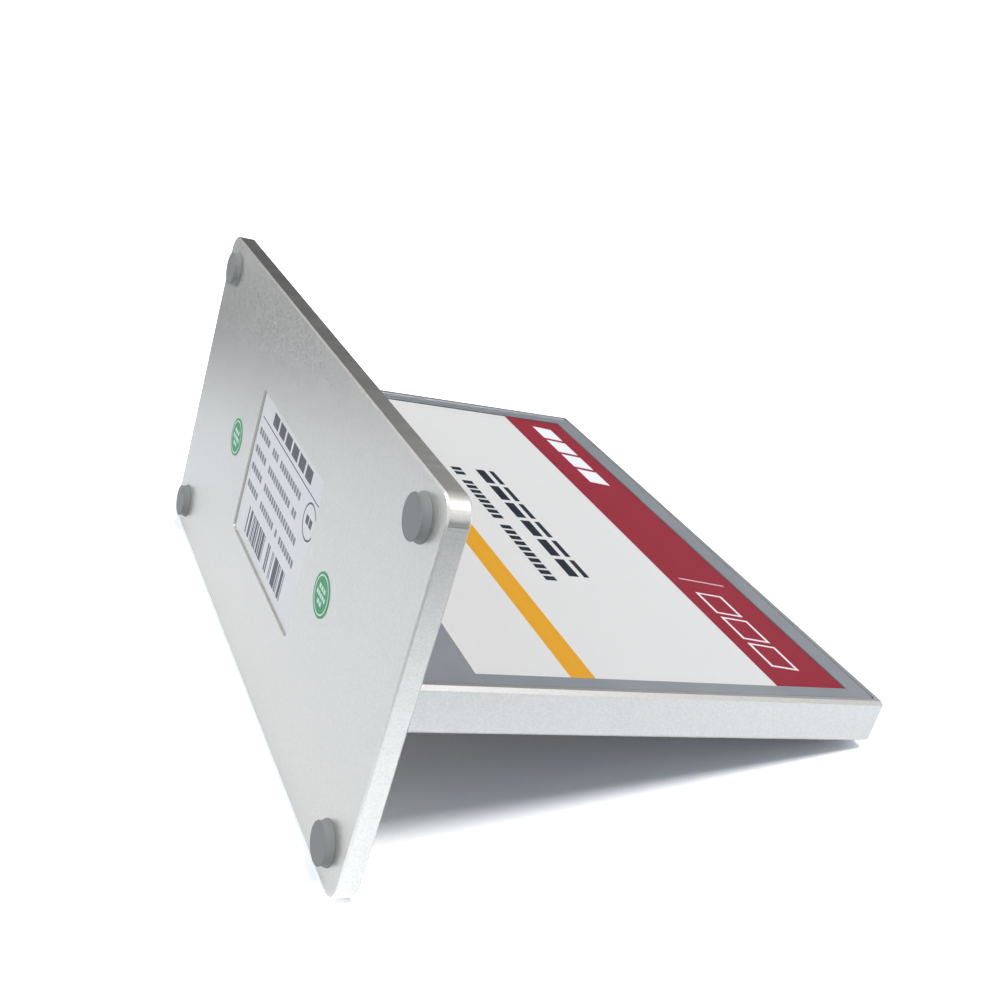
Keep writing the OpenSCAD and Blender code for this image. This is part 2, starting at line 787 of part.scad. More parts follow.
// Socket on the edge of the board, open at the top for the plug
module battery_socket() {
    wall = (battery_socket_t - lead_d) / 2 - plug_play;
    color("ivory") difference() {
        translate([battery_socket_x, 0, 0]) side_drawn(battery_socket_w)
            translate([parts_y, battery_socket_z]) square([battery_socket_t, battery_socket_h]);
        translate([battery_socket_x, 0, 0]) side_drawn(battery_socket_w - 2 * wall)
            translate([parts_y + wall, battery_socket_z + battery_socket_h - plug_inside])
                square([battery_socket_t - 2 * wall, plug_inside + cut]);
    }
}

module battery_plug() {
    wall = (battery_socket_t - lead_d) / 2;
    color("white") translate([battery_socket_x, 0, 0]) side_drawn(battery_socket_w - 2 * wall)
        translate([parts_y + wall, battery_socket_z + battery_socket_h - plug_inside])
            square([battery_socket_t - 2 * wall, plug_h]);
}

// One lead from the plug's top up to the guard board, swept along a soft sideways step
module battery_lead(side) {
    start_z = battery_socket_z + battery_socket_h - plug_inside + plug_h;
    rise = cell_z - start_z;
    rings = [for (i = [0 : lead_rings]) let (
            share = i / lead_rings,
            x = lead_step * (1 - cos(180 * share)) / 2,
            slope = atan(lead_step / rise * PI / 2 * sin(180 * share)))
        [for (k = [0 : lead_sides - 1]) let (a = 360 * k / lead_sides, r = lead_d / 2)
            [x + r * cos(a) * cos(slope), r * sin(a), rise * share - r * cos(a) * sin(slope)]]];
    quads = [for (i = [0 : lead_rings - 1], k = [0 : lead_sides - 1])
        let (low = i * lead_sides, next = (k + 1) % lead_sides)
        [low + k, low + lead_sides + k, low + lead_sides + next, low + next]];
    last = lead_rings * lead_sides;
    caps = [[for (k = [0 : lead_sides - 1]) k],
        [for (k = [0 : lead_sides - 1]) last + lead_sides - 1 - k]];
    translate([battery_socket_x + side * lead_pitch / 2 - lead_step / 2,
            parts_y + battery_socket_t / 2, body_z + start_z])
        polyhedron([for (ring = rings) each ring], concat(quads, caps));
}

module battery_lead_red() { color("firebrick") battery_lead(-1); }
module battery_lead_black() { color("black") battery_lead(1); }

base_plate();
foot_front_left();
foot_front_right();
foot_rear_left();
foot_rear_right();
underside_label();
seal_left();
seal_right();
base_screws();
display_frame();
front_lens();
rear_lens();
front_lens_tape();
rear_lens_tape();
front_panel_glass();
rear_panel_glass();
front_ink_film();
rear_ink_film();
front_driver_chip();
rear_driver_chip();
front_flex_tail();
rear_flex_tail();
front_panel_tapes();
rear_panel_tapes();
chassis_tray();
chassis_cover();
chassis_screws();
cover_screws();
main_board();
board_screws();
radio_board();
radio_shield();
panel_sockets();
power_coils();
capacitors();
battery_cell();
battery_guard_board();
battery_pad();
battery_socket();
battery_plug();
battery_lead_red();
battery_lead_black();
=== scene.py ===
"""Dresses, lights and frames the two-faced e-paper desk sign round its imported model.

The model stands upright with its feet on z = 0. The photograph shows it tipped on its
back, so the camera and the floor are turned instead, and no piece is moved.
"""

import logging
import math
from dataclasses import dataclass
from enum import Enum
from functools import partial
from typing import Any, Protocol, Sequence

import bpy
from mathutils import Matrix, Vector


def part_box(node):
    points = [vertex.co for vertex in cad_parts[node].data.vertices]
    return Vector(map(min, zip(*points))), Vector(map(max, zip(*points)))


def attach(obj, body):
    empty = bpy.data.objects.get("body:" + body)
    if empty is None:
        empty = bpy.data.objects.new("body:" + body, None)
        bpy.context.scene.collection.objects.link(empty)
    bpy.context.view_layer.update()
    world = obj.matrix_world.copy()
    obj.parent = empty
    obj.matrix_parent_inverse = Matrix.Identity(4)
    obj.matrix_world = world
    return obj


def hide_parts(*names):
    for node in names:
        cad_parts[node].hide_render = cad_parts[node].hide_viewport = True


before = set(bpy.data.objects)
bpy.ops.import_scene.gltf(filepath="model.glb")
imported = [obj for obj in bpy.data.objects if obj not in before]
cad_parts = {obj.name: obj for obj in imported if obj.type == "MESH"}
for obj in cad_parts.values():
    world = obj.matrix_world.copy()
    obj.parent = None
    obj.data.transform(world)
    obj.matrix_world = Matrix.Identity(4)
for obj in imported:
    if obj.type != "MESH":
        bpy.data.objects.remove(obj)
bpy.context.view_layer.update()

LOG = logging.getLogger("desk_sign")
MM = 0.001
BODY = "root"
CORNERS = 4
# Nearly all of a noise texture lies between these
NOISE_LOW, NOISE_HIGH = 0.3, 0.7
CLOUD_DETAIL, GRAIN_DETAIL = 2.0, 3.0

Socket = bpy.types.NodeSocket
Tree = bpy.types.NodeTree
Point = tuple[float, float, float]
Edges = tuple[float, float, float, float]


def linear(hex_colour: str) -> tuple[float, float, float, float]:
    """Turns an sRGB hex colour into the linear colour that Blender's sockets take.

    Args:
        hex_colour: Six hex digits, without a leading mark.

    Returns:
        Red, green, blue and an alpha of 1.
    """
    parts = [part / 255 for part in bytes.fromhex(hex_colour)]
    # The numbers are those of the sRGB standard
    red, green, blue = (p / 12.92 if p <= 0.04045 else ((p + 0.055) / 1.055) ** 2.4 for p in parts)
    return red, green, blue, 1.0


def add(
    tree: Tree, kind: str, values: dict[Any, Any] | None = None, out: Any = None, **settings: Any
) -> Any:
    """Adds a node with its settings, its values and its links.

    Args:
        tree: Tree that gets the node.
        kind: The node's type name.
        values: A value or a socket to link for each input, by name or number.
        out: Output wanted, by name or number, or None for the node itself.
        **settings: The node's own settings.

    Returns:
        The node, or the output socket that was asked for.
    """
    node = tree.nodes.new(kind)
    for name, value in settings.items():
        setattr(node, name, value)
    for key, value in (values or {}).items():
        if isinstance(value, bpy.types.NodeSocket):
            tree.links.new(value, node.inputs[key])
        else:
            node.inputs[key].default_value = value
    return node if out is None else node.outputs[out]


def maths(tree: Tree, operation: str, *terms: Any) -> Socket:
    """Joins numbers or sockets by one sum, in their order."""
    return add(tree, "ShaderNodeMath", dict(enumerate(terms)), 0, operation=operation)


def vector_maths(tree: Tree, operation: str, first: Any, second: Any, out: Any = 0) -> Socket:
    """Joins two vectors by one sum, of which SCALE takes a number as its second."""
    values = {0: first, "Scale" if operation == "SCALE" else 1: second}
    return add(tree, "ShaderNodeVectorMath", values, out, operation=operation)


def mix_colours(tree: Tree, share: Any, first: Any, second: Any) -> Socket:
    """Mixes two colours, the first at a share of 0 and the second at 1."""
    # The node's colour sockets are told apart from its number sockets by place alone
    values = {"Factor": share, 6: first, 7: second}
    return add(tree, "ShaderNodeMix", values, 2, data_type="RGBA")


def mix_shaders(tree: Tree, share: Any, first: Socket, second: Socket) -> Socket:
    """Mixes two shaders, the first at a share of 0 and the second at 1."""
    return add(tree, "ShaderNodeMixShader", {0: share, 1: first, 2: second}, 0)


def stray(tree: Tree, noise: Socket, middle: float, reach: float) -> Socket:
    """Turns a noise into a number that strays from its middle by up to its reach."""
    values = {0: noise, 1: NOISE_LOW, 2: NOISE_HIGH, 3: middle - reach, 4: middle + reach}
    return add(tree, "ShaderNodeMapRange", values, "Result")


def seen_share(tree: Tree, strength: float) -> Socket:
    """Gives a strength to rays that see, and none to rays that light.

    Args:
        tree: Tree of a material or the world.
        strength: The strength where the camera, gloss or clear pieces look.

    Returns:
        The strength as a socket.
    """
    path = add(tree, "ShaderNodeLightPath").outputs
    seen = path["Is Camera Ray"]
    for other in ("Is Glossy Ray", "Is Transmission Ray"):
        seen = maths(tree, "MAXIMUM", seen, path[other])
    return maths(tree, "MULTIPLY", seen, strength)


def new_material(name: str) -> tuple[bpy.types.Material, Tree]:
    """Makes an empty material.

    Args:
        name: The material's name.

    Returns:
        The material and its bare tree.
    """
    material = bpy.data.materials.new(name)
    material.use_nodes = True
    material.node_tree.nodes.clear()
    return material, material.node_tree


def place(name: str, data: bpy.types.ID) -> bpy.types.Object:
    """Makes an object and links it into the scene.

    Args:
        name: The object's name.
        data: Its mesh, lamp or camera.

    Returns:
        The object, at the origin.
    """
    thing = bpy.data.objects.new(name, data)
    bpy.context.scene.collection.objects.link(thing)
    return thing


def flat_card(name: str, middle: Vector, side: Vector, rise: Vector) -> bpy.types.Object:
    """Makes a flat rectangle whose front faces the way of side x rise.

    Args:
        name: The object's name.
        middle: Its middle, in mm.
        side: From its middle to the middle of one side, in mm.
        rise: From its middle to the middle of its upper side, in mm.

    Returns:
        The object.
    """
    turns = ((-1, -1), (1, -1), (1, 1), (-1, 1))
    corners = [(middle + side * s + rise * r) * MM for s, r in turns]
    mesh = bpy.data.meshes.new(name)
    mesh.from_pydata(corners, [], [range(CORNERS)])
    return place(name, mesh)


class Face(Enum):
    """Side that a print is read from, as the turn in degrees that makes it u and v."""

    FRONT = (90.0, 0.0, 0.0)
    REAR = (90.0, 0.0, 180.0)
    UNDERSIDE = (180.0, 0.0, 0.0)


class Axis(Enum):
    """Axis of the part, as a unit vector."""

    X = (1.0, 0.0, 0.0)
    Y = (0.0, 1.0, 0.0)
    Z = (0.0, 0.0, 1.0)


class Mark(Protocol):
    """Anything that can be printed on a surface."""

    colour: str

    def mask(self, tree: Tree, u: Socket, v: Socket) -> Socket:
        """Returns a socket that is 1 on the mark and 0 off it."""
        ...


BLOCK_SIZES = tuple("start middle pitch height count duty slant line chance seed".split())


def block_group() -> Tree:
    """Builds the group that draws a run of equal blocks, once.

    Returns:
        The group, with the sizes of the run as its inputs, in millimetres.
    """
    known = bpy.data.node_groups.get("run_of_blocks")
    if known:
        return known
    tree = bpy.data.node_groups.new("run_of_blocks", "ShaderNodeTree")
    for name in ("u", "v", *BLOCK_SIZES):
        tree.interface.new_socket(name, in_out="INPUT", socket_type="NodeSocketFloat")
    tree.interface.new_socket("Mask", in_out="OUTPUT", socket_type="NodeSocketFloat")
    get = add(tree, "NodeGroupInput").outputs

    step = partial(maths, tree)
    rise = step("SUBTRACT", get["v"], get["middle"])
    along = step("SUBTRACT", get["u"], step("MULTIPLY", rise, get["slant"]))
    cell = step("DIVIDE", step("SUBTRACT", along, get["start"]), get["pitch"])
    half_duty = step("MULTIPLY", get["duty"], 0.5)
    off = step("ABSOLUTE", step("SUBTRACT", step("FRACT", cell), half_duty))
    high = step("ABSOLUTE", rise)
    half_height = step("MULTIPLY", get["height"], 0.5)
    line_share = step("DIVIDE", get["line"], get["pitch"])
    number = step("ADD", step("FLOOR", cell), get["seed"])
    luck = add(tree, "ShaderNodeTexWhiteNoise", {"W": number}, "Value", noise_dimensions="1D")
    inner = step(
        "MULTIPLY",
        step("LESS_THAN", off, step("SUBTRACT", half_duty, line_share)),
        step("LESS_THAN", high, step("SUBTRACT", half_height, get["line"])),
    )
    mask = step("SUBTRACT", 1.0, inner)
    for test in (
        step("GREATER_THAN", cell, 0.0),
        step("LESS_THAN", cell, get["count"]),
        step("LESS_THAN", off, half_duty),
        step("LESS_THAN", high, half_height),
        step("LESS_THAN", luck, get["chance"]),
    ):
        mask = step("MULTIPLY", mask, test)
    add(tree, "NodeGroupOutput", {"Mask": mask})
    return tree


@dataclass(frozen=True)
class Blocks:
    """A run of printed blocks: one bar, a broken row, or fine bars.

    All sizes are in mm. duty is the share of the pitch that a block fills, and slant
    its lean. line is the width of its outline, which fills it where it is wide. chance
    is the share of the blocks that is printed, drawn by seed, and above 1 it is all.
    """

    colour: str
    start: float
    middle: float
    pitch: float
    height: float
    count: float = 1.0
    duty: float = 1.0
    slant: float = 0.0
    line: float = 100.0
    chance: float = 2.0
    seed: float = 0.0

    def mask(self, tree: Tree, u: Socket, v: Socket) -> Socket:
        """Returns a socket that is 1 on the blocks, for u and v in mm."""
        sizes = {"u": u, "v": v} | {name: getattr(self, name) for name in BLOCK_SIZES}
        return add(tree, "ShaderNodeGroup", sizes, "Mask", node_tree=block_group())


@dataclass(frozen=True)
class Ring:
    """A printed circle line."""

    colour: str
    centre: tuple[float, float]
    radius: float
    line: float

    def mask(self, tree: Tree, u: Socket, v: Socket) -> Socket:
        """Draws the circle.

        Args:
            tree: The material's tree.
            u: Millimetres along the print.
            v: Millimetres up the print.

        Returns:
            A socket that is 1 on the line.
        """
        spot = add(tree, "ShaderNodeCombineXYZ", {"X": u, "Y": v}, 0)
        far = vector_maths(tree, "DISTANCE", spot, (*self.centre, 0.0), "Value")
        off = maths(tree, "ABSOLUTE", maths(tree, "SUBTRACT", far, self.radius))
        return maths(tree, "LESS_THAN", off, self.line / 2)


@dataclass(frozen=True)
class Finish:
    """A surface by its material and how it was made, with grain from a real size.

    grain is the spacing of the surface's texture in mm and relief its height in mm.
    cloud is the spacing of its slow change of tone in mm. tint and spread are the
    shares by which colour and roughness stray. coat is the weight of a clear coat.
    """

    name: str
    colour: str
    roughness: float
    metallic: float = 0.0
    ior: float = 1.5
    grain: float = 0.3
    relief: float = 0.0
    cloud: float = 25.0
    tint: float = 0.02
    spread: float = 0.04
    coat: float = 0.0
    coat_roughness: float = 0.08

    def ground(self, tree: Tree, point: Socket) -> Socket:
        """Colours the surface with slow clouds of tone.

        Args:
            tree: The material's tree.
            point: Place on the object, in millimetres.

        Returns:
            The colour.
        """
        base = Vector(linear(self.colour)[:3])
        values = {"Vector": point, "Scale": 1 / self.cloud, "Detail": CLOUD_DETAIL}
        slow = add(tree, "ShaderNodeTexNoise", values, "Fac")
        dark, light = base * (1 - self.tint), base * (1 + self.tint)
        return mix_colours(tree, slow, (*dark, 1.0), (*light, 1.0))

    def texture(self, tree: Tree, point: Socket) -> Socket:
        """Makes the fine texture, from 0 to 1, that roughness and relief follow."""
        values = {"Vector": point, "Scale": 1 / self.grain, "Detail": GRAIN_DETAIL}
        return add(tree, "ShaderNodeTexNoise", values, "Fac")

    def build(self) -> bpy.types.Material:
        """Builds the material, or returns it when it is there already.

        Returns:
            The material.
        """
        known = bpy.data.materials.get(self.name)
        if known:
            return known
        material, tree = new_material(self.name)
        metres = add(tree, "ShaderNodeTexCoord", out="Object")
        self.surface(tree, vector_maths(tree, "SCALE", metres, 1 / MM))
        return material

    def surface(self, tree: Tree, point: Socket) -> None:
        """Ends the tree in its shader.

        Args:
            tree: The material's tree.
            point: Place on the object, in millimetres.
        """
        fine = self.texture(tree, point)
        values: dict[str, Any] = {
            "Base Color": self.ground(tree, point),
            "Roughness": stray(tree, fine, self.roughness, self.spread),
            "Metallic": self.metallic, "IOR": self.ior, "Coat Weight": self.coat,
            "Coat Roughness": self.coat_roughness,
        }
        if self.relief:
            bump = {"Height": fine, "Distance": self.relief * MM, "Strength": 1.0}
            values["Normal"] = add(tree, "ShaderNodeBump", bump, "Normal")
        shader = add(tree, "ShaderNodeBsdfPrincipled", values, "BSDF")
        add(tree, "ShaderNodeOutputMaterial", {"Surface": shader})


@dataclass(frozen=True)
class MilledAluminium(Finish):
    """Anodised aluminium: blasted faces, and fine cutter marks on its side walls.

    tool is the axis of the cutter, which its marks run along. mark_pitch is their
    spacing in mm, and mark_run how many times as long they are. speckle is the share by
    which single pits of the blasting stray in tone.
    """

    tool: Axis = Axis.Z
    mark_pitch: float = 0.45
    mark_run: float = 40.0
    speckle: float = 0.07

    def ground(self, tree: Tree, point: Socket) -> Socket:
        """Adds the tone of single blasted pits to the slow clouds."""
        tone = stray(tree, super().texture(tree, point), 1.0, self.speckle)
        return vector_maths(tree, "SCALE", super().ground(tree, point), tone)

    def texture(self, tree: Tree, point: Socket) -> Socket:
        """Lays cutter marks on the walls, and grain on the faces across the tool.

        Args:
            tree: The material's tree.
            point: Place on the object, in millimetres.

        Returns:
            A height from 0 to 1.
        """
        across, along = 1 / self.mark_pitch, 1 / (self.mark_pitch * self.mark_run)
        stretch = tuple(along if share else across for share in self.tool.value)
        lined = vector_maths(tree, "MULTIPLY", point, stretch)
        lines = add(tree, "ShaderNodeTexNoise", {"Vector": lined, "Scale": 1.0}, "Fac")
        grain = super().texture(tree, point)
        normal = add(tree, "ShaderNodeTexCoord", out="Normal")
        flat = vector_maths(tree, "DOT_PRODUCT", normal, self.tool.value, "Value")
        flat = maths(tree, "ABSOLUTE", flat)
        return add(tree, "ShaderNodeMix", {0: flat, 2: lines, 3: grain}, 0)


@dataclass(frozen=True)
class Printed(Finish):
    """A surface that carries a print, read from one side."""

    face: Face = Face.FRONT
    centre: Point = (0.0, 0.0, 0.0)
    marks: tuple[Mark, ...] = ()

    def ground(self, tree: Tree, point: Socket) -> Socket:
        """Prints the marks over the plain colour, in their order.

        Args:
            tree: The material's tree.
            point: Place on the object, in millimetres.

        Returns:
            The colour.
        """
        colour = super().ground(tree, point)
        moved = vector_maths(tree, "SUBTRACT", point, self.centre)
        values = {"Vector": moved, "Rotation": tuple(map(math.radians, self.face.value))}
        turn = {"rotation_type": "EULER_XYZ", "invert": True}
        turned = add(tree, "ShaderNodeVectorRotate", values, 0, **turn)
        flat = add(tree, "ShaderNodeSeparateXYZ", {0: turned}).outputs
        for mark in self.marks:
            mask = mark.mask(tree, flat["X"], flat["Y"])
            colour = mix_colours(tree, mask, colour, linear(mark.colour))
        return colour


@dataclass(frozen=True)
class ClearLens(Finish):
    """Clear acrylic with a hard coat that takes most of its gloss away.

    shine is the share of bare acrylic's gloss that the coat leaves. held is the share
    of light turned back inside above which nothing gets out. bends is False for a lens
    whose light comes straight through, which a lamp of few bounces needs. passed is
    the share of bounced light that each of its surfaces lets through.
    """

    shine: float = 0.15
    held: float = 0.99
    bends: bool = True
    passed: float = 1.0

    def surface(self, tree: Tree, point: Socket) -> None:
        """Bends what is seen through it, and lets the light behind it straight in.

        Args:
            tree: The material's tree.
            point: Place on the object, which a clear lens has no use for.
        """
        colour = linear(self.colour)
        clear = add(tree, "ShaderNodeBsdfTransparent", {"Color": colour}, 0)
        gloss = add(tree, "ShaderNodeBsdfGlossy", {"Roughness": self.roughness}, 0)
        edge = add(tree, "ShaderNodeFresnel", {"IOR": self.ior}, 0)
        inside = add(tree, "ShaderNodeNewGeometry", out="Backfacing")
        outside = maths(tree, "SUBTRACT", 1.0, inside)
        share = maths(tree, "MULTIPLY", edge, outside)
        share = maths(tree, "MULTIPLY", share, self.shine)
        bent = clear
        if self.bends:
            values = {"Color": colour, "Roughness": 0.0, "IOR": self.ior}
            bent = add(tree, "ShaderNodeBsdfRefraction", values, 0)
            # Light that meets a side wall from within is turned back whole
            held = maths(tree, "GREATER_THAN", edge, self.held)
            held = maths(tree, "MULTIPLY", held, inside)
            share = maths(tree, "MAXIMUM", share, held)
        glass = mix_shaders(tree, share, bent, gloss)
        passed = (self.passed, self.passed, self.passed, 1.0)
        dim = add(tree, "ShaderNodeBsdfTransparent", {"Color": passed}, 0)
        path = add(tree, "ShaderNodeLightPath").outputs
        shader = mix_shaders(tree, path["Is Shadow Ray"], glass, clear)
        shader = mix_shaders(tree, path["Is Diffuse Ray"], shader, dim)
        add(tree, "ShaderNodeOutputMaterial", {"Surface": shader})


# Bead-blasted, clear anodised: a soft grey metal with a grain that just shows
BASE_ALUMINIUM = MilledAluminium(
    "blasted_anodised_aluminium_base", "D4D3CF", 0.35, metallic=1.0, grain=0.45,
    relief=0.016, tint=0.015, spread=0.07,
)
# The same, with the lines of the mill running round the body's walls
FRAME_ALUMINIUM = MilledAluminium(
    "blasted_anodised_aluminium_frame", "C2C1BF", 0.34, metallic=1.0, grain=0.45,
    relief=0.014, tint=0.012, spread=0.06, tool=Axis.Y,
)
# Hard-coated acrylic: clear, with a weak but sharp gloss over the picture
FRONT_ACRYLIC = ClearLens("coated_acrylic_front_lens", "FEFEFE", 0.04, ior=1.49)
# The same to the eye, but light comes straight through, so the rear lamp gets in
REAR_ACRYLIC = ClearLens(
    "coated_acrylic_rear_lens", "FEFEFE", 0.04, ior=1.49, bends=False, passed=0.3
)
# Silver-grey screen print behind the lens: fine metal flakes in a grey binder
SILVER_PRINT = Finish(
    "silver_screen_print", "A3A6AB", 0.36, metallic=0.55, grain=0.25, cloud=16.0, tint=0.14,
    spread=0.06,
)
# Sealant: a matt grey line that parts the glossy lens from the metal
GREY_BEAD = Finish("grey_sealant_bead", "8C9296", 0.5, grain=0.3, tint=0.03)
# Moulded rubber: a flat mid grey that shows only broad, soft lights
GREY_RUBBER = Finish("moulded_grey_rubber", "858684", 0.72, grain=0.22, relief=0.01, tint=0.05)
# Zinc plate: a bright, hard and slightly blue screw head
STEEL = Finish("zinc_plated_steel", "B4B6B8", 0.3, metallic=1.0, grain=0.2, tint=0.04)
# Foam tape: dead black, with open pores
BLACK_FOAM = Finish("black_foam_tape", "1B1B1C", 0.9, grain=0.4, relief=0.03)
# Tissue tape and pad: warm white and matt
WHITE_TAPE = Finish("white_tape", "DEDCD2", 0.7, grain=0.5, relief=0.01)
# Panel glass over its circuit: nearly black, and smooth enough to mirror
BACKPLANE = Finish("backplane_glass", "20262A", 0.12, grain=2.0, spread=0.02)
# Back of a bare chip: black with a dull polish
SILICON = Finish("black_silicon", "121316", 0.18, grain=1.0, spread=0.03)
# Polyimide ribbon: amber under a clear cover film
POLYIMIDE = Finish("amber_polyimide", "B4671C", 0.35, grain=0.6, tint=0.05, coat=0.3)
# Moulded ABS: dark grey, with the fine spark texture of its mould
CHASSIS_PLASTIC = Finish("moulded_black_abs", "34373A", 0.55, grain=0.3, relief=0.012, tint=0.05)
# Solder mask: glossy green, mottled by the copper under it
SOLDER_MASK = Finish("green_solder_mask", "17502C", 0.3, grain=0.8, tint=0.1, coat=0.5)
# Tin plate: bright, with a slight bloom
TIN_PLATE = Finish("bright_tin_plate", "C3C5C4", 0.26, metallic=1.0, grain=0.5)
# Moulded nylon: ivory and half matt
IVORY_NYLON = Finish("ivory_nylon", "DBD6C2", 0.5, grain=0.3, relief=0.005)
# Sintered ferrite: dark grey and dusty, like slate
FERRITE = Finish("sintered_ferrite", "3C3D3F", 0.75, grain=0.2, relief=0.02, tint=0.1)
# Fired ceramic: tan and half matt
TAN_CERAMIC = Finish("fired_tan_ceramic", "9B7350", 0.5, grain=0.15, tint=0.06)
# Laminated foil: dull silver with soft creases
POUCH_FOIL = Finish("laminated_pouch_foil", "BFC2C6", 0.36, metallic=0.9, grain=1.2, relief=0.03)
# Extruded PVC: smooth, waxy insulation
RED_PVC = Finish("red_pvc", "A01E1A", 0.45, grain=0.3)
BLACK_PVC = Finish("black_pvc", "19191B", 0.45, grain=0.3)

# Pigments of the picture: chalk white, blue-black, wine red, and a warm yellow
INK_WHITE = "E1DDD8"
INK_BLACK = "1B222C"
INK_RED = "8F2634"
INK_YELLOW = "E3A127"
# What the band holds is lighter than the ground, so that it stands out on the red
BAND_BLOCKS = "F3F1F0"
BAND_RULE = "D9C4C6"
BAND_OUTLINES = "F0E6E6"
PICTURE_MARGIN = "59625F"
# The label: off-white satin film, with a dark and a paler grey on it
LABEL_FILM = "E1DFDD"
LABEL_INK = "4A4C52"
LABEL_FINE_INK = "797C83"
# The seals: leaf-green paper, with pale green on it
SEAL_GREEN = "3F9361"
SEAL_INK = "CFE6D6"


@dataclass(frozen=True)
class PictureLayout:
    """What each e-paper picture shows, in mm from the middle of its lower edge."""

    width: float = 163.2
    height: float = 97.92
    band: float = 20.4
    stripe: float = 6.12
    stripe_foot: float = 22.44
    slant: float = 0.2
    # Middles of the two big rows and the fine one, and where all three start
    big_rows: tuple[tuple[float, float], ...] = ((46.9, 2.9), (50.6, 1.6))
    fine_row: float = 39.0
    rows_start: float = -30.0

    def marks(self) -> tuple[Mark, ...]:
        """Lays out the picture.

        Returns:
            The ground, a band, a stripe, and rows of plain blocks and outlines.
        """
        across = {"start": -self.width / 2, "pitch": self.width}
        stripe_middle = self.stripe_foot + self.stripe / 2
        band_middle = self.height - self.band / 2
        grounds = (
            Blocks(INK_WHITE, middle=self.height / 2, height=self.height, **across),
            Blocks(INK_RED, middle=band_middle, height=self.band, **across),
            Blocks(INK_YELLOW, middle=stripe_middle, height=self.stripe, **across),
        )
        band = (
            Blocks(
                BAND_BLOCKS, start=-75, middle=band_middle + 1, pitch=11.5, height=6.4,
                count=4, duty=0.84, slant=self.slant,
            ),
            Blocks(BAND_RULE, start=31, middle=band_middle, pitch=0.6, height=13, slant=self.slant),
            Blocks(
                BAND_OUTLINES, start=38, middle=band_middle - 2, pitch=12.5, height=7.4,
                count=3, duty=0.86, slant=self.slant, line=0.75,
            ),
        )
        big = tuple(
            Blocks(
                INK_BLACK, start=self.rows_start, middle=middle, pitch=11, height=height,
                count=6, duty=0.84,
            )
            for middle, height in self.big_rows
        )
        fine = Blocks(
            INK_BLACK, start=self.rows_start, middle=self.fine_row, pitch=3.1, height=3.2,
            count=22, duty=0.72, chance=0.84, seed=4,
        )
        return (*grounds, *band, *big, fine)


@dataclass(frozen=True)
class LabelLayout:
    """What the underside's label shows, in mm from its middle."""

    rule_height: float = 0.35
    circle: tuple[float, float] = (24.0, 7.8)
    circle_radius: float = 4.4
    circle_line: float = 0.5
    rows: tuple[float, ...] = (9.6, 4.6, -0.4, -5.4)
    row_height: float = 2.0
    row_start: float = -27.0
    second_start: float = -13.0
    second_count: int = 14
    first_seed: int = 40
    seed_step: int = 23

    def marks(self) -> tuple[Mark, ...]:
        """Lays out the label.

        Returns:
            A rule, rows of plain blocks, fine bars and a circle.
        """
        marks: list[Mark] = [
            Blocks(LABEL_INK, start=self.row_start, middle=13.4, pitch=57, height=self.rule_height),
            Blocks(LABEL_INK, start=-18, middle=16.5, pitch=6.4, height=3.4, count=6, duty=0.8),
            Ring(LABEL_INK, self.circle, self.circle_radius, self.circle_line),
            Blocks(LABEL_INK, start=21.6, middle=7.8, pitch=2.6, height=2.2, count=2, duty=0.8),
            Blocks(
                LABEL_INK, start=-21.5, middle=-13.3, pitch=0.46, height=7.5, count=84,
                chance=0.52, seed=31,
            ),
        ]
        for number, middle in enumerate(self.rows):
            row = {"middle": middle, "height": self.row_height}
            marks += [
                Blocks(LABEL_FINE_INK, start=self.row_start, pitch=2.2, count=5, duty=0.78, **row),
                Blocks(
                    LABEL_FINE_INK, start=self.second_start, pitch=2.0,
                    count=self.second_count + number, duty=0.74, chance=0.86,
                    seed=self.first_seed + number * self.seed_step, **row,
                ),
            ]
        return tuple(marks)


def dress(node: str, finish: Finish) -> None:
    """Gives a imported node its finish.

    Args:
        node: The node's name.
        finish: What its surface is made of.
    """
    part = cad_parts[node]
    material = finish.build()
    if not part.material_slots:
        part.data.materials.append(material)
    for slot in part.material_slots:
        slot.material = material
    LOG.info("%s: %s", node, finish.name)


def new_piece(
    name: str, points: Sequence[Point], faces: Sequence[Sequence[int]], finish: Finish
) -> bpy.types.Object:
    """Makes a piece from its points in mm.

    Args:
        name: The piece's name.
        points: Its corners, in mm.
        faces: The corners of each face, turning left round its outward side.
        finish: What its surface is made of.

    Returns:
        The piece, at the origin.
    """
    mesh = bpy.data.meshes.new(name)
    mesh.from_pydata([Vector(p) * MM for p in points], [], faces)
    mesh.materials.append(finish.build())
    return place(name, mesh)


def grown(edges: Edges, reach: float) -> Edges:
    """Moves a rectangle's left, right, lower and upper edges outwards."""
    left, right, bottom, top = edges
    return left - reach, right + reach, bottom - reach, top + reach


def node_box(node: str) -> tuple[Vector, Vector]:
    """Returns a node's lowest and highest corners in mm."""
    low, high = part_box(node)
    return Vector(low) / MM, Vector(high) / MM


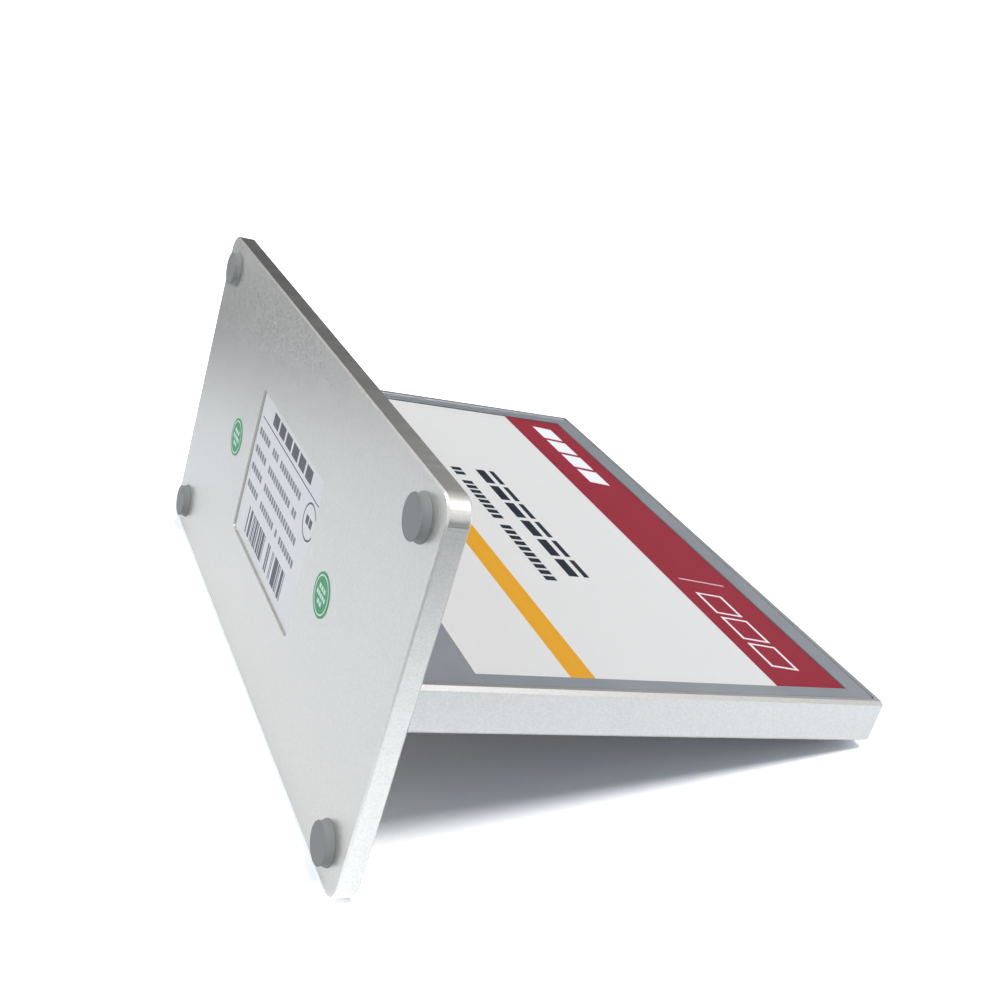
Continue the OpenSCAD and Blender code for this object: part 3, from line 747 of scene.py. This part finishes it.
@dataclass
class PartRow:
    """Equal small bars in a straight row, made by Geometry Nodes."""

    name: str
    start: Vector
    step: Vector
    count: int
    size: Vector
    slot: str = "shield_tin"
    finish: Finish = TIN_PLATE

    def tree(self) -> Tree:
        """Builds the tree that lays the row out.

        Returns:
            A Geometry Nodes tree with the row's sizes as named inputs, in metres.
        """
        tree = bpy.data.node_groups.new(self.name, "GeometryNodeTree")
        for name in ("Start", "Step", "Size"):
            tree.interface.new_socket(name, in_out="INPUT", socket_type="NodeSocketVector")
        tree.interface.new_socket("Count", in_out="INPUT", socket_type="NodeSocketInt")
        tree.interface.new_socket("Geometry", in_out="OUTPUT", socket_type="NodeSocketGeometry")
        get = add(tree, "NodeGroupInput").outputs
        line = add(
            tree,
            "GeometryNodeMeshLine",
            {"Count": get["Count"], "Start Location": get["Start"], "Offset": get["Step"]},
            0,
        )
        bar = add(tree, "GeometryNodeMeshCube", {"Size": get["Size"]}, 0)
        row = add(tree, "GeometryNodeInstanceOnPoints", {"Points": line, "Instance": bar}, 0)
        solid = add(tree, "GeometryNodeRealizeInstances", {0: row}, 0)
        dressed = add(
            tree, "GeometryNodeSetMaterial", {"Geometry": solid, "Material": self.finish.build()}, 0
        )
        add(tree, "NodeGroupOutput", {"Geometry": dressed})
        return tree

    def build(self) -> bpy.types.Object:
        """Makes the row a plain mesh that rides with the part.

        Returns:
            The finished piece.
        """
        holder = place(self.name, bpy.data.meshes.new(self.name))
        modifier = holder.modifiers.new("row", "NODES")
        modifier.node_group = self.tree()
        sizes = {"Start": self.start, "Step": self.step, "Size": self.size}
        values = {name: tuple(size * MM) for name, size in sizes.items()}
        values["Count"] = self.count
        for item in modifier.node_group.interface.items_tree:
            if item.name in values:
                modifier[item.identifier] = values[item.name]
        graph = bpy.context.evaluated_depsgraph_get()
        mesh = bpy.data.meshes.new_from_object(holder.evaluated_get(graph))
        holder.modifiers.clear()
        holder.data = mesh
        mesh.name = self.name
        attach(holder, BODY)
        LOG.info("%s: %d bars", self.name, self.count)
        return holder


@dataclass
class Base:
    """The base plate with its feet, label, seals and screws."""

    foot_sides: int = 72
    # Shares of the foot's radius and height, from the floor up
    foot_profile: tuple[tuple[float, float], ...] = (
        (0.86, 0.02), (0.90, 0.0), (0.925, 0.03), (0.935, 0.09), (0.925, 0.15),
        (0.90, 0.22), (0.905, 0.42), (0.94, 0.66), (0.985, 0.84), (1.0, 0.93), (1.0, 1.0),
    )
    seal_ring: float = 4.4
    seal_line: float = 0.35
    seal_row_height: float = 1.1
    seal_duty: float = 0.75
    # Start, middle, pitch and number of the blocks in each row
    seal_rows: tuple[tuple[float, float, float, int], ...] = (
        (-2.3, 1.5, 1.6, 3), (-3.0, -0.2, 1.25, 5), (-1.5, -1.9, 1.6, 2)
    )

    def dress(self) -> None:
        """Gives every piece of the base its finish."""
        dress("base_plate", BASE_ALUMINIUM)
        for end in ("front", "rear"):
            for side in ("left", "right"):
                dress(f"foot_{end}_{side}", GREY_RUBBER)
                self.foot(f"foot_{end}_{side}")
        dress("base_screws", STEEL)
        dress("underside_label", self.label())
        for side in ("left", "right"):
            dress(f"seal_{side}", self.seal(side))

    def foot(self, node: str) -> None:
        """Turns one foot: a pad with a raised rim, a waist and a wider seat.

        Args:
            node: The plain foot that it stands for.
        """
        low, high = node_box(node)
        middle = (low + high) / 2
        radius = (high.x - low.x) / 2
        height = high.z - low.z
        turns = [2 * math.pi * i / self.foot_sides for i in range(self.foot_sides)]
        points = [
            (
                middle.x + radius * out * math.cos(turn),
                middle.y + radius * out * math.sin(turn),
                low.z + height * rise,
            )
            for out, rise in self.foot_profile
            for turn in turns
        ]
        sides, top = self.foot_sides, len(points) - self.foot_sides
        faces = [range(sides)[::-1], range(top, top + sides)]
        for first in range(0, top, sides):
            for i in range(first, first + sides):
                j = first + (i + 1 - first) % sides
                faces.append((i, j, j + sides, i + sides))
        piece = new_piece(f"{node}_pad", points, faces, GREY_RUBBER)
        for face in piece.data.polygons[2:]:
            face.use_smooth = True
        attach(piece, BODY)
        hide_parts(node)
        LOG.info("%s_pad: turned", node)

    def label(self) -> Printed:
        """Returns the label's finish: satin film, printed in dark grey."""
        return Printed(
            "printed_label_film", LABEL_FILM, 0.45, grain=0.5, tint=0.01,
            face=Face.UNDERSIDE, marks=LabelLayout().marks(),
        )

    def seal(self, side: str) -> Printed:
        """Describes one green paper seal.

        Args:
            side: left or right.

        Returns:
            Its finish, with a light circle and a few plain blocks.
        """
        low, high = node_box(f"seal_{side}")
        rows = [
            Blocks(SEAL_INK, start, middle, pitch, self.seal_row_height, count, self.seal_duty)
            for start, middle, pitch, count in self.seal_rows
        ]
        return Printed(
            f"green_seal_paper_{side}", SEAL_GREEN, 0.5, grain=0.5, tint=0.03,
            face=Face.UNDERSIDE, centre=tuple((low + high) / 2),
            marks=(Ring(SEAL_INK, (0.0, 0.0), self.seal_ring, self.seal_line), *rows),
        )


@dataclass
class DisplaySide:
    """One face of the sign: lens, its silver print, tape and e-paper panel."""

    side: str
    face: Face
    acrylic: Finish
    layout: PictureLayout = PictureLayout()
    film_margin: float = 1.5
    window_play: float = 0.25
    print_inset: float = 0.05
    print_gap: float = 0.005
    print_t: float = 0.03
    # The bead of sealant in the slot round the lens
    bead_reach: float = 0.15
    bead_play: float = 0.005
    bead_sink: float = 0.03
    bead_t: float = 0.4

    def dress(self) -> None:
        """Gives every piece of this face its finish, and prints its lens."""
        for name, finish in (
            ("lens", self.acrylic), ("lens_tape", BLACK_FOAM), ("panel_glass", BACKPLANE),
            ("driver_chip", SILICON), ("flex_tail", POLYIMIDE), ("panel_tapes", WHITE_TAPE),
            ("ink_film", self.picture()),
        ):
            dress(f"{self.side}_{name}", finish)
        self.print_lens()

    def foot_of_picture(self) -> Vector:
        """Returns the middle of the picture's lower edge, in mm."""
        low, high = node_box(f"{self.side}_ink_film")
        return Vector(((low.x + high.x) / 2, (low.y + high.y) / 2, low.z + self.film_margin))

    def picture(self) -> Printed:
        """Returns the ink film's finish: matt pigment in three colours on white."""
        return Printed(
            f"e_paper_pigment_{self.side}", PICTURE_MARGIN, 0.6, ior=1.2, grain=0.3,
            tint=0.01, face=self.face, centre=tuple(self.foot_of_picture()),
            marks=self.layout.marks(),
        )

    def print_lens(self) -> None:
        """Makes the print on the back of the lens, and the bead round the lens."""
        low, high = node_box(f"{self.side}_lens")
        foot = self.foot_of_picture()
        sign = -1 if self.face is Face.FRONT else 1
        front, back = (low.y, high.y) if sign < 0 else (high.y, low.y)
        half = self.layout.width / 2
        outline = (low.x, high.x, low.z, high.z)
        picture = (foot.x - half, foot.x + half, foot.z, foot.z + self.layout.height)
        self.ring(
            "print",
            grown(outline, -self.print_inset),
            grown(picture, self.window_play),
            (back + sign * (self.print_gap + self.print_t), back + sign * self.print_gap),
            SILVER_PRINT,
        )
        self.ring(
            "bead",
            grown(outline, self.bead_reach),
            grown(outline, self.bead_play),
            (front - sign * self.bead_sink, front - sign * (self.bead_sink + self.bead_t)),
            GREY_BEAD,
        )

    def ring(
        self, name: str, outer: Edges, inner: Edges, depths: tuple[float, float], finish: Finish
    ) -> None:
        """Makes a thin frame-shaped piece that rides with the part.

        Args:
            name: Last word of its name.
            outer: Its left, right, lower and upper outer edges, in mm.
            inner: The same of its opening.
            depths: Where it starts and ends in y, in mm.
            finish: What its surface is made of.
        """
        points = [
            (x, depth, z)
            for depth in depths
            for left, right, bottom, top in (outer, inner)
            for x, z in ((left, bottom), (right, bottom), (right, top), (left, top))
        ]
        faces = []
        outer_a, inner_a, outer_b, inner_b = (
            range(first, first + CORNERS) for first in range(0, len(points), CORNERS)
        )
        for i in range(CORNERS):
            j = (i + 1) % CORNERS
            faces += [
                (outer_a[i], outer_a[j], inner_a[j], inner_a[i]),
                (outer_b[j], outer_b[i], inner_b[i], inner_b[j]),
                (outer_a[j], outer_a[i], outer_b[i], outer_b[j]),
                (inner_a[i], inner_a[j], inner_b[j], inner_b[i]),
            ]
        if depths[0] > depths[1]:
            faces = [tuple(reversed(f)) for f in faces]
        piece = new_piece(f"{self.side}_lens_{name}", points, faces, finish)
        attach(piece, BODY)
        LOG.info("%s_lens_%s: made", self.side, name)


INSIDE_NODES = {
    CHASSIS_PLASTIC: "chassis_tray chassis_cover",
    STEEL: "chassis_screws cover_screws board_screws",
    SOLDER_MASK: "main_board radio_board battery_guard_board", TIN_PLATE: "radio_shield",
    IVORY_NYLON: "panel_sockets battery_socket battery_plug", FERRITE: "power_coils",
    TAN_CERAMIC: "capacitors", POUCH_FOIL: "battery_cell", WHITE_TAPE: "battery_pad",
    RED_PVC: "battery_lead_red", BLACK_PVC: "battery_lead_black",
}


@dataclass
class Insides:
    """What the sealed body holds between its two panels."""

    socket_length: float = 27.6
    contact_inset: float = 2.3
    contact_pitch: float = 1.0
    contact_count: int = 24
    contact_size: Point = (0.4, 0.2, 0.9)
    pad_inset: float = 1.5
    pad_pitch: float = 1.2
    pad_count: int = 9
    pad_size: Point = (0.5, 0.12, 0.7)
    cap_count: int = 8
    cap_end: float = 0.3
    cap_skin: float = 0.03

    def dress(self) -> None:
        """Gives every inner node its finish and adds the rows of small metal parts."""
        for finish, nodes in INSIDE_NODES.items():
            for node in nodes.split():
                dress(node, finish)
        self.contacts()
        self.pads()
        self.capacitor_ends()

    def contacts(self) -> None:
        """Solders a row of tin contacts above each socket."""
        low, high = node_box("panel_sockets")
        board = node_box("main_board")[1].y
        size = Vector(self.contact_size)
        for side, start in (("left", low.x), ("right", high.x - self.socket_length)):
            x = start + self.contact_inset
            PartRow(
                f"panel_socket_contacts_{side}",
                Vector((x, board + size.y / 2, high.z + size.z / 2)),
                Vector((self.contact_pitch, 0, 0)), self.contact_count, size,
            ).build()

    def pads(self) -> None:
        """Solders the radio board along both of its sides."""
        low, high = node_box("radio_board")
        size = Vector(self.pad_size)
        for side, x in (("left", low.x - size.x / 2), ("right", high.x + size.x / 2)):
            PartRow(
                f"radio_solder_pads_{side}",
                Vector((x, low.y + size.y / 2, low.z + self.pad_inset)),
                Vector((0, 0, self.pad_pitch)), self.pad_count, size,
            ).build()

    def capacitor_ends(self) -> None:
        """Puts a tin cap on both ends of every capacitor."""
        low, high = node_box("capacitors")
        width = high.y - low.y
        pitch = (high.x - low.x - width) / (self.cap_count - 1)
        size = Vector((width + self.cap_skin, width + self.cap_skin, self.cap_end))
        x = low.x + width / 2
        for end, z in (("lower", low.z), ("upper", high.z - self.cap_end)):
            PartRow(
                f"capacitor_{end}_ends",
                Vector((x, low.y + size.y / 2, z + self.cap_end / 2)),
                Vector((pitch, 0, 0)), self.cap_count, size,
            ).build()


@dataclass(frozen=True)
class Flag:
    """A card that only gloss can see, dark or bright, faded along one direction.

    Its sizes are in mm. middle is its place, and side and rise run from there to the
    middles of two of its sides. fade is where its fade starts and ends along fade_along,
    measured from the part's origin, and cover the share that it covers there.
    """

    name: str
    middle: Vector
    side: Vector
    rise: Vector
    fade_along: Vector
    fade: tuple[float, float] = (0.0, 1.0)
    cover: tuple[float, float] = (1.0, 1.0)
    colour: str = "1E2029"
    strength: float = 1.0

    def build(self) -> None:
        """Hangs the card."""
        card = flat_card(self.name, self.middle, self.side, self.rise)
        card.data.materials.append(self.material())
        card.visible_camera = False
        card.visible_diffuse = False
        card.visible_shadow = False

    def material(self) -> bpy.types.Material:
        """Builds the card's fade between see-through and its own colour.

        Returns:
            The material.
        """
        material, tree = new_material(self.name)
        spot = add(tree, "ShaderNodeTexCoord", out="Object")
        direction = tuple(self.fade_along.normalized() / MM)
        far = vector_maths(tree, "DOT_PRODUCT", spot, direction, "Value")
        values = dict(enumerate((far, *self.fade, *self.cover)))
        smooth = {"interpolation_type": "SMOOTHSTEP"}
        covered = add(tree, "ShaderNodeMapRange", values, "Result", **smooth)
        clear = add(tree, "ShaderNodeBsdfTransparent", out=0)
        glow = {"Color": linear(self.colour), "Strength": self.strength}
        card = add(tree, "ShaderNodeEmission", glow, 0)
        shader = mix_shaders(tree, covered, clear, card)
        add(tree, "ShaderNodeOutputMaterial", {"Surface": shader})
        return material


@dataclass
class Studio:
    """Camera, floor and light, placed in the part's own frame from the photograph."""

    eye: Point = (276.3, -124.1, -93.3)
    right: Point = (0.3794, -0.2812, 0.8815)
    ahead: Point = (-0.8186, 0.3420, 0.4615)
    lens: float = 45.59
    sensor: float = 36.0
    clip: tuple[float, float] = (0.01, 50.0)
    # Lowest edges of the tipped sign: y and z of the base's and the body's
    base_edge: tuple[float, float] = (45.5, 6.6)
    body_edge: tuple[float, float] = (7.9, 128.0)
    floor_half: float = 6000.0
    floor_white: float = 0.9
    floor_seen_white: float = 1.35
    floor_camera_extra: float = 0.25
    key_to: Point = (0.35, -0.935, -0.04)
    key_strength: float = 2.05
    key_angle: float = 17.0
    side_to: Point = (-0.5, -0.35, -0.79)
    side_strength: float = 0.9
    side_angle: float = 60.0
    rear_to: Point = (-0.3, 0.9, 0.35)
    rear_strength: float = 1.6
    fill_colour: str = "D8E6F8"
    fill_strength: float = 0.5
    # Direction from the part to the middle of the dark wall, in degrees from +X
    wall_turn: float = 148.0
    wall_fade_rise: float = 0.35
    # Direction of the card far left on the floor, to the side and into the picture
    left_to: tuple[float, float] = (-0.9, 0.44)
    floor_card_lift: float = 0.5
    # Mirror direction of the base's upright front corner, where the highlight is
    window_to: Point = (0.36, -0.82, 0.45)
    window_strength: float = 3.0
    # Mirror direction of the chamfer along the underside's front edge
    high_to: Point = (-0.82, -0.46, -0.34)

    def up(self) -> Vector:
        """Returns the floor's upward direction."""
        along = Vector((0, *self.body_edge)) - Vector((0, *self.base_edge))
        return Vector(Axis.X.value).cross(along).normalized()

    def build(self) -> None:
        """Makes the camera, the floor, the lamps and the world."""
        self.camera()
        self.floor()
        self.sun("key_sun", self.key_to, self.key_strength, self.key_angle)
        self.sun("side_sun", self.side_to, self.side_strength, self.side_angle)
        # Comes up through the floor for the rear and what mirrors it, and no further
        rear = self.sun("rear_sun", self.rear_to, self.rear_strength, self.side_angle)
        rear.cycles.max_bounces = 1
        self.world()
        for flag in self.flags():
            flag.build()
        bpy.context.scene.view_settings.view_transform = "Standard"

    def camera(self) -> None:
        """Stands the camera where the photograph was taken from."""
        data = bpy.data.cameras.new("camera")
        data.lens = self.lens
        data.sensor_width = self.sensor
        data.clip_start, data.clip_end = self.clip
        camera = place("camera", data)
        right = Vector(self.right).normalized()
        back = -Vector(self.ahead).normalized()
        up = back.cross(right).normalized()
        turn = Matrix((up.cross(back), up, back)).transposed().to_4x4()
        camera.matrix_world = Matrix.Translation(Vector(self.eye) * MM) @ turn
        bpy.context.scene.camera = camera

    def floor(self) -> None:
        """Lays the white floor under the tipped sign, seen from above only."""
        middle = Vector((0, *self.base_edge))
        side = Vector(Axis.X.value) * self.floor_half
        floor = flat_card("studio_floor", middle, side, self.up().cross(side))
        floor.data.materials.append(self.floor_material())

    def floor_material(self) -> bpy.types.Material:
        """Builds the floor's white, which keeps the shadow and hides from behind.

        Returns:
            The material.
        """
        material, tree = new_material("studio_white_paper")
        path = add(tree, "ShaderNodeLightPath").outputs
        extra = seen_share(tree, self.floor_seen_white - self.floor_white)
        white = maths(tree, "ADD", extra, self.floor_white)
        camera = path["Is Camera Ray"]
        white = maths(tree, "MULTIPLY_ADD", camera, self.floor_camera_extra, white)
        values = {0: white, 1: white, 2: white}
        colour = add(tree, "ShaderNodeCombineColor", values, 0)
        paper = add(tree, "ShaderNodeBsdfDiffuse", {"Color": colour}, 0)
        behind = add(tree, "ShaderNodeNewGeometry", out="Backfacing")
        gone = maths(tree, "MAXIMUM", behind, path["Is Shadow Ray"])
        clear = add(tree, "ShaderNodeBsdfTransparent", out=0)
        shader = mix_shaders(tree, gone, paper, clear)
        add(tree, "ShaderNodeOutputMaterial", {"Surface": shader})
        return material

    def sun(self, name: str, towards: Point, strength: float, angle: float) -> bpy.types.Light:
        """Hangs a soft sun.

        Args:
            name: The lamp's name.
            towards: Direction from the part to the lamp.
            strength: Its strength.
            angle: How wide it looks, in degrees.

        Returns:
            The lamp's data.
        """
        data = bpy.data.lights.new(name, "SUN")
        data.energy = strength
        data.angle = math.radians(angle)
        lamp = place(name, data)
        lamp.rotation_mode = "QUATERNION"
        lamp.rotation_quaternion = Vector(towards).to_track_quat("Z", "Y")
        return data

    def world(self) -> None:
        """Makes a white background to look at and a softer fill to light by."""
        world = bpy.data.worlds.new("studio")
        bpy.context.scene.world = world
        world.use_nodes = True
        tree = world.node_tree
        tree.nodes.clear()
        glow = {"Color": linear(self.fill_colour), "Strength": self.fill_strength}
        fill = add(tree, "ShaderNodeBackground", glow, 0)
        plain = {"Color": linear("FFFFFF"), "Strength": 1.0}
        white = add(tree, "ShaderNodeBackground", plain, 0)
        mixed = mix_shaders(tree, seen_share(tree, 1.0), fill, white)
        add(tree, "ShaderNodeOutputWorld", {"Surface": mixed})

    def flags(self) -> tuple[Flag, ...]:
        """Places the cards round the set that the metal and the lens mirror.

        Returns:
            A dark wall and its foot behind the sign, two dark cards on the floor, one
            dark card high on the left, and one bright window.
        """
        up = self.up()
        across = Vector(Axis.X.value)
        deep = across.cross(up)
        turn = math.radians(self.wall_turn)
        wall = across * math.cos(turn) - deep * math.sin(turn)
        wall_side = wall.cross(up)
        ground = Vector((0, *self.base_edge)) + up * self.floor_card_lift
        left = (across * self.left_to[0] + deep * self.left_to[1]).normalized()
        high = Vector(self.high_to).normalized()
        high_side = high.cross(up).normalized()
        high_rise = high_side.cross(high)
        window = Vector(self.window_to).normalized()
        window_side = window.cross(up).normalized()
        return (
            Flag(
                "flag_behind",
                middle=ground + wall * 900 + up * 600 + wall_side * 90,
                side=wall_side * 810,
                rise=up * 600,
                fade_along=wall_side + up * self.wall_fade_rise,
                fade=(-100.0, 400.0),
                cover=(1.0, 0.42),
            ),
            Flag(
                "flag_near", middle=ground + across * 1095, side=across * 1000,
                rise=deep * 2000, fade_along=across, fade=(105.0, 310.0), cover=(0.0, 0.97),
            ),
            Flag(
                "flag_far_left", middle=ground + left * 1925, side=left * 2000,
                rise=left.cross(up) * 3000, fade_along=left, fade=(120.0, 620.0),
                cover=(0.37, 0.64),
            ),
            Flag(
                "flag_ground_behind", middle=ground + wall * 520, side=wall_side * 700,
                rise=wall * 400, fade_along=wall, fade=(120.0, 320.0), cover=(0.0, 0.8),
            ),
            Flag(
                "flag_high_left", middle=high * 900, side=high_side * 260,
                rise=high_rise * 170, fade_along=high_rise, cover=(0.42, 0.42),
            ),
            Flag(
                "window_card", middle=window * 700, side=window_side * 110,
                rise=window_side.cross(window) * 110, fade_along=up, colour="FFFFFF",
                strength=self.window_strength,
            ),
        )


def main() -> None:
    """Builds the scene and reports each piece."""
    logging.basicConfig(level=logging.INFO, format="%(name)s %(message)s")
    Studio().build()
    Base().dress()
    dress("display_frame", FRAME_ALUMINIUM)
    DisplaySide("front", Face.FRONT, FRONT_ACRYLIC).dress()
    DisplaySide("rear", Face.REAR, REAR_ACRYLIC).dress()
    Insides().dress()


if __name__ == "__main__":
    main()
